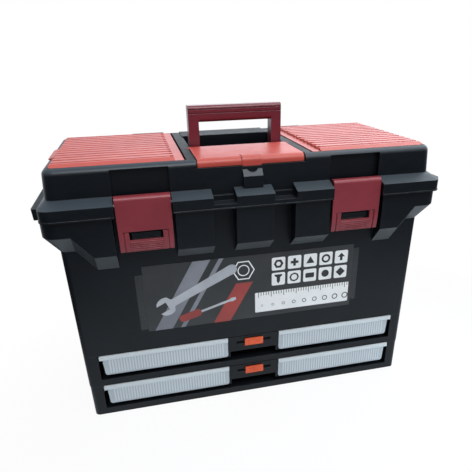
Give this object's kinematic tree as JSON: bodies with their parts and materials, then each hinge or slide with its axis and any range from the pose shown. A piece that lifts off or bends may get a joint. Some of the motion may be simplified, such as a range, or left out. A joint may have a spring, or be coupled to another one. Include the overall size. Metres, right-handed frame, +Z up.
{
  "type": "tool box",
  "caption": "Plastic tool box: flared tub on stacked drawers, hinged lid with latches, covered parts bins in the lid, folding handle and drawers with slide locks",
  "frame": {"origin": "middle of the foot, on the floor", "axes": "+X to the right along the width, -Y to the front with the latches, +Z up"},
  "size_m": [0.566, 0.288, 0.443],
  "materials": {
    "black_plastic": "fine moulded grain",
    "red_cover": "satin",
    "red_latch": "semi gloss",
    "maroon_plastic": "semi gloss",
    "clear_bin": "translucent, ribbed",
    "orange_lock": "semi gloss",
    "zinc_steel": "zinc plated",
    "printed_card": "coated"
  },
  "bodies": {
    "case": {"tub": "black_plastic", "drawer_housing_upper": "black_plastic", "drawer_housing_lower": "black_plastic", "housing_screws_upper": "zinc_steel", "housing_screws_lower": "zinc_steel", "label_card": "printed_card", "hinge_pin_left": "zinc_steel", "hinge_pin_right": "zinc_steel"},
    "lid": {"lid": "black_plastic", "latch_pin_left": "zinc_steel", "latch_pin_right": "zinc_steel"},
    "cover_left": {"cover_left": "red_cover"},
    "cover_right": {"cover_right": "red_cover"},
    "cover_centre": {"cover_centre": "red_cover"},
    "handle": {"handle": "maroon_plastic"},
    "latch_left": {"latch_left": "red_latch"},
    "latch_right": {"latch_right": "red_latch"},
    "drawer_upper": {"drawer_frame_upper": "black_plastic", "bin_upper_left": "clear_bin", "bin_upper_right": "clear_bin"},
    "drawer_lower": {"drawer_frame_lower": "black_plastic", "bin_lower_left": "clear_bin", "bin_lower_right": "clear_bin"},
    "slide_lock_upper": {"slide_lock_upper": "orange_lock"},
    "slide_lock_lower": {"slide_lock_lower": "orange_lock"}
  },
  "joints": [
    {"name": "lid_hinge", "type": "hinge", "parent": "case", "child": "lid", "pos_m": [0, 0.139, 0.3206], "axis": [-1, 0, 0], "range_deg": [0, 100]},
    {"name": "cover_centre_hinge", "type": "hinge", "parent": "lid", "child": "cover_centre", "pos_m": [0, -0.033, 0.386], "axis": [-1, 0, 0], "range_deg": [0, 85]},
    {"name": "handle_fold", "type": "hinge", "parent": "lid", "child": "handle", "pos_m": [0, -0.01, 0.3745], "axis": [-1, 0, 0], "range_deg": [0, 90]},
    {"name": "latch_left_hinge", "type": "hinge", "parent": "lid", "child": "latch_left", "pos_m": [-0.14675, -0.13, 0.3385], "axis": [-1, 0, 0], "range_deg": [0, 135]},
    {"name": "cover_left_hinge", "type": "hinge", "parent": "lid", "child": "cover_left", "pos_m": [-0.093, 0, 0.3854], "axis": [0, 1, 0], "range_deg": [0, 95]},
    {"name": "latch_right_hinge", "type": "hinge", "parent": "lid", "child": "latch_right", "pos_m": [0.14675, -0.13, 0.3385], "axis": [-1, 0, 0], "range_deg": [0, 135]},
    {"name": "cover_right_hinge", "type": "hinge", "parent": "lid", "child": "cover_right", "pos_m": [0.093, 0, 0.3854], "axis": [0, -1, 0], "range_deg": [0, 95]},
    {"name": "drawer_upper_slide", "type": "slide", "parent": "case", "child": "drawer_upper", "axis": [0, -1, 0], "range_m": [0, 0.185]},
    {"name": "slide_lock_upper_shift", "type": "slide", "parent": "drawer_upper", "child": "slide_lock_upper", "axis": [1, 0, 0], "range_m": [-0.008, 0.008]},
    {"name": "drawer_lower_slide", "type": "slide", "parent": "case", "child": "drawer_lower", "axis": [0, -1, 0], "range_m": [0, 0.185]},
    {"name": "slide_lock_lower_shift", "type": "slide", "parent": "drawer_lower", "child": "slide_lock_lower", "axis": [1, 0, 0], "range_m": [-0.008, 0.008]}
  ]
}
